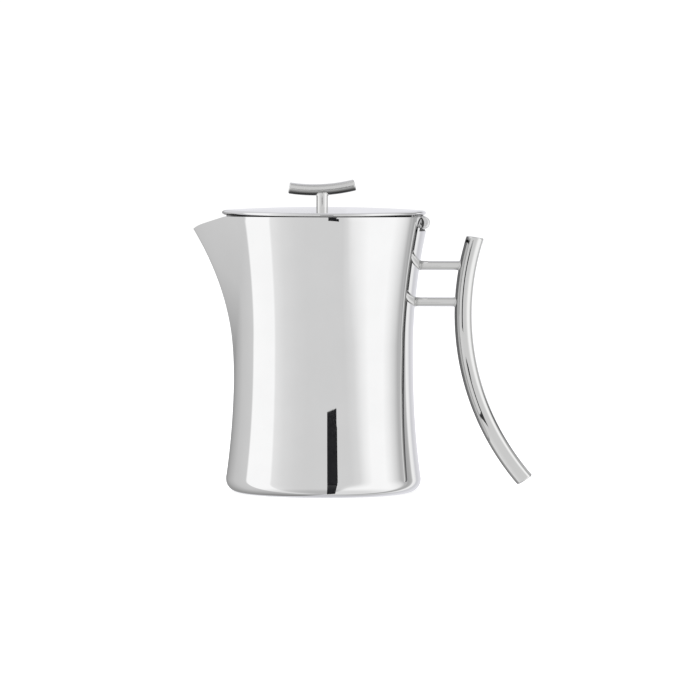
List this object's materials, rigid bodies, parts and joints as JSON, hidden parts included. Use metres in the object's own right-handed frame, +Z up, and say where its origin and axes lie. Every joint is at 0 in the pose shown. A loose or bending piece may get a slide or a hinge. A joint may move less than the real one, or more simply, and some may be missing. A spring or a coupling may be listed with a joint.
{
  "type": "covered cream jug",
  "caption": "Small waisted covered cream jug in polished steel with a pulled pouring lip, a bowed rod handle on straight struts and a hinged domed lid with a bar knob.",
  "frame": {"origin": "middle of the flat base, on the table", "axes": "+Z up along the body's axis, +X from the body's axis towards the handle, so the pouring lip points to -X; +Y completes the right-handed set"},
  "size_m": [0.1227, 0.0758, 0.1129],
  "materials": {
    "polished_body": "mirror-polished steel",
    "satin_base": "fine turned satin",
    "polished_rod": "polished steel rod",
    "satin_hinge": "lightly brushed",
    "polished_lid": "mirror-polished steel",
    "satin_lid_underside": "satin",
    "polished_knob": "polished steel rod",
    "satin_screw": "plain steel"
  },
  "bodies": {
    "jug": {"body_wall": "polished_body", "base_plate": "satin_base", "pouring_lip": "polished_body", "handle_bar": "polished_rod", "upper_strut": "polished_rod", "lower_strut": "polished_rod", "hinge_knuckle_front": "satin_hinge", "hinge_knuckle_rear": "satin_hinge", "hinge_pin": "satin_hinge"},
    "lid": {"lid_plate": "polished_lid", "lid_flange": "satin_lid_underside", "lid_hinge_leaf": "satin_hinge", "knob_post": "polished_knob", "knob_bar": "polished_knob", "knob_screw": "satin_screw"}
  },
  "joints": [
    {"name": "lid_hinge", "type": "hinge", "parent": "jug", "child": "lid", "pos_m": [0.0357, 0, 0.0975], "axis": [0, 1, 0], "range_deg": [0, 110]}
  ]
}
